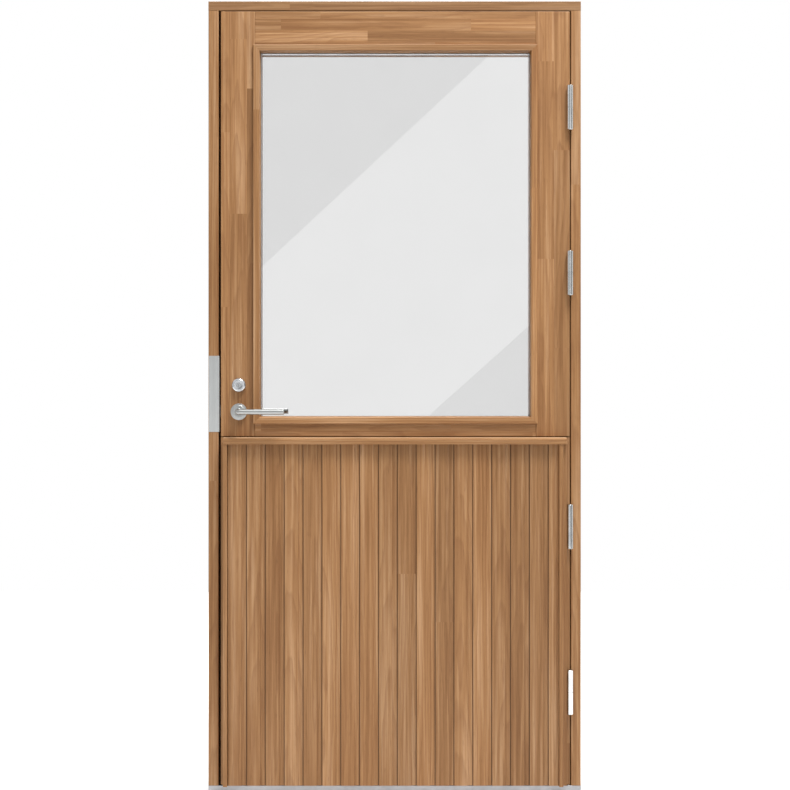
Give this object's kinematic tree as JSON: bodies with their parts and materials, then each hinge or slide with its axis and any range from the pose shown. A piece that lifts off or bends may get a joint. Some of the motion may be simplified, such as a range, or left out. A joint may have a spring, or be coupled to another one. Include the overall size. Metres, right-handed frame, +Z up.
{
  "type": "glazed exterior door",
  "caption": "Wooden exterior door in its frame: glazed upper part, vertically boarded lower part, lever handles, lock and strike plate; opens outwards.",
  "frame": {"origin": "middle of the threshold's underside, in the middle of the frame's depth", "axes": "+X to the hinge side as seen from outdoors, +Y indoors, +Z up"},
  "size_m": [0.98, 0.1768, 2.08],
  "materials": {
    "frame_wood": "satin stained pine",
    "leaf_wood": "satin stained pine",
    "board_wood": "satin stained pine",
    "panel_ply": "satin stained plywood",
    "core_foam": "matte foam",
    "threshold_metal": "satin",
    "steel": "brushed",
    "lock_steel": "zinc plated",
    "fixings": "zinc plated",
    "cylinder_chrome": "polished",
    "glass": "clear",
    "spacer_metal": "matte",
    "seal_rubber": "matte"
  },
  "bodies": {
    "frame": {"lock_jamb": "frame_wood", "hinge_jamb": "frame_wood", "frame_head": "frame_wood", "threshold_plate": "threshold_metal", "threshold_sill": "frame_wood", "frame_seal": "seal_rubber", "frame_sleeves": "fixings", "strike_plate": "steel", "frame_screws": "fixings", "hinge_frame_halves": "steel"},
    "leaf": {"hinge_leaf_halves": "steel", "leaf_screws": "fixings", "lock_stile": "leaf_wood", "hinge_stile": "leaf_wood", "top_rail": "leaf_wood", "mid_rail": "leaf_wood", "bottom_rail": "leaf_wood", "outer_pane": "glass", "inner_pane": "glass", "spacer_bar": "spacer_metal", "glazing_packing": "seal_rubber", "bead_lock_side": "leaf_wood", "bead_hinge_side": "leaf_wood", "bead_head": "leaf_wood", "bead_foot": "leaf_wood", "inner_panel": "panel_ply", "panel_core": "core_foam", "board_1": "board_wood", "board_2": "board_wood", "board_3": "board_wood", "board_4": "board_wood", "board_5": "board_wood", "board_6": "board_wood", "board_7": "board_wood", "board_8": "board_wood", "board_9": "board_wood", "board_10": "board_wood", "board_11": "board_wood", "board_12": "board_wood", "board_13": "board_wood", "board_14": "board_wood", "board_15": "board_wood", "board_16": "board_wood", "board_17": "board_wood", "board_18": "board_wood", "edge_strips": "board_wood", "drip_moulding": "board_wood", "lock_case": "lock_steel", "outer_rose": "steel", "inner_rose": "steel", "lock_cylinder": "cylinder_chrome", "turn_rose": "steel"},
    "handle": {"lever_outside": "steel", "lever_inside": "steel", "spindle": "lock_steel", "follower": "lock_steel"},
    "latch": {"latch_bolt": "lock_steel"},
    "bolt": {"dead_bolt": "lock_steel"},
    "turn": {"thumb_turn": "steel"},
    "plug": {"cylinder_plug": "cylinder_chrome"}
  },
  "joints": [
    {"name": "leaf_swing", "type": "hinge", "parent": "frame", "child": "leaf", "pos_m": [0.4604, -0.0665, 1], "axis": [0, 0, 1], "range_deg": [0, 110]},
    {"name": "handle_turn", "type": "hinge", "parent": "leaf", "child": "handle", "pos_m": [-0.4095, -0.0265, 1], "axis": [0, 1, 0], "range_deg": [0, 45], "stiffness_Nm_per_rad": 1, "springref_deg": -34.38},
    {"name": "latch_slide", "type": "slide", "parent": "leaf", "child": "latch", "axis": [1, 0, 0], "range_m": [0, 0.012]},
    {"name": "thumb_turn", "type": "hinge", "parent": "leaf", "child": "turn", "pos_m": [-0.4095, 0.02, 1.07], "axis": [0, 1, 0], "range_deg": [0, 90]},
    {"name": "bolt_slide", "type": "slide", "parent": "leaf", "child": "bolt", "axis": [-1, 0, 0], "range_m": [0, 0.02]},
    {"name": "plug_turn", "type": "hinge", "parent": "leaf", "child": "plug", "pos_m": [-0.4095, -0.06, 1.07], "axis": [0, 1, 0], "range_deg": [-90, 90]}
  ],
  "couplings": [
    {"joint": "latch_slide", "follows": "handle_turn", "m_per_rad": 0.01527},
    {"joint": "bolt_slide", "follows": "thumb_turn", "m_per_rad": 0.01273}
  ]
}
